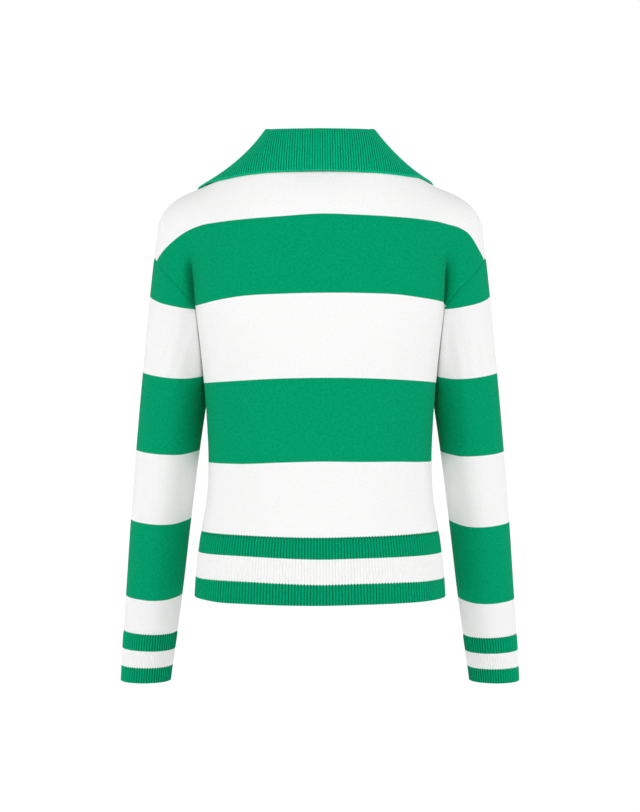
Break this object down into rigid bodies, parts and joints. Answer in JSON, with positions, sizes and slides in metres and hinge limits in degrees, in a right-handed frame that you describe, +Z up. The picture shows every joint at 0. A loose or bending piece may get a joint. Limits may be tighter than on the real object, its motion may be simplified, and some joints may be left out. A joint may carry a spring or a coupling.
{
  "type": "worn half-zip sweater",
  "caption": "Hollow worn striped knit sweater with a wide turned-down rib collar, half zip, rib hem and cuffs.",
  "frame": {"origin": "middle of the neck base, level with the shoulder seams at the neck, where the wearer's neck and shoulders hold the garment", "axes": "+Z up, the front of the garment faces -Y, +X towards the wearer's left sleeve"},
  "size_m": [0.5242, 0.2075, 0.7154],
  "materials": {
    "back": "fine plain knit in wide green and white stripes",
    "front": "fine plain knit in wide green and white stripes",
    "sleeve_left": "fine plain knit in wide green and white stripes",
    "sleeve_right": "fine plain knit in wide green and white stripes",
    "hem_rib_back": "vertical rib in green and white bands",
    "hem_rib_front": "vertical rib in green and white bands",
    "cuff_left": "vertical rib in green and white bands",
    "cuff_right": "vertical rib in green and white bands",
    "collar": "green rib with a plain edge",
    "zip_tape_left": "woven green tape",
    "zip_tape_right": "woven green tape",
    "zip_slider": "polished silver-coloured metal",
    "zip_pull": "polished silver-coloured metal",
    "zip_stop": "polished silver-coloured metal"
  },
  "bodies": {
    "sweater": {"back": "back", "front": "front", "sleeve_left": "sleeve_left", "sleeve_right": "sleeve_right", "hem_rib_back": "hem_rib_back", "hem_rib_front": "hem_rib_front", "cuff_left": "cuff_left", "cuff_right": "cuff_right", "collar": "collar", "zip_tape_left": "zip_tape_left", "zip_tape_right": "zip_tape_right", "zip_slider": "zip_slider", "zip_stop": "zip_stop"},
    "pull": {"zip_pull": "zip_pull"}
  },
  "joints": [
    {"name": "pull_swing", "type": "hinge", "parent": "sweater", "child": "pull", "pos_m": [0, -0.10675, -0.1619], "axis": [-1, 0, 0], "range_deg": [0, 165]}
  ]
}
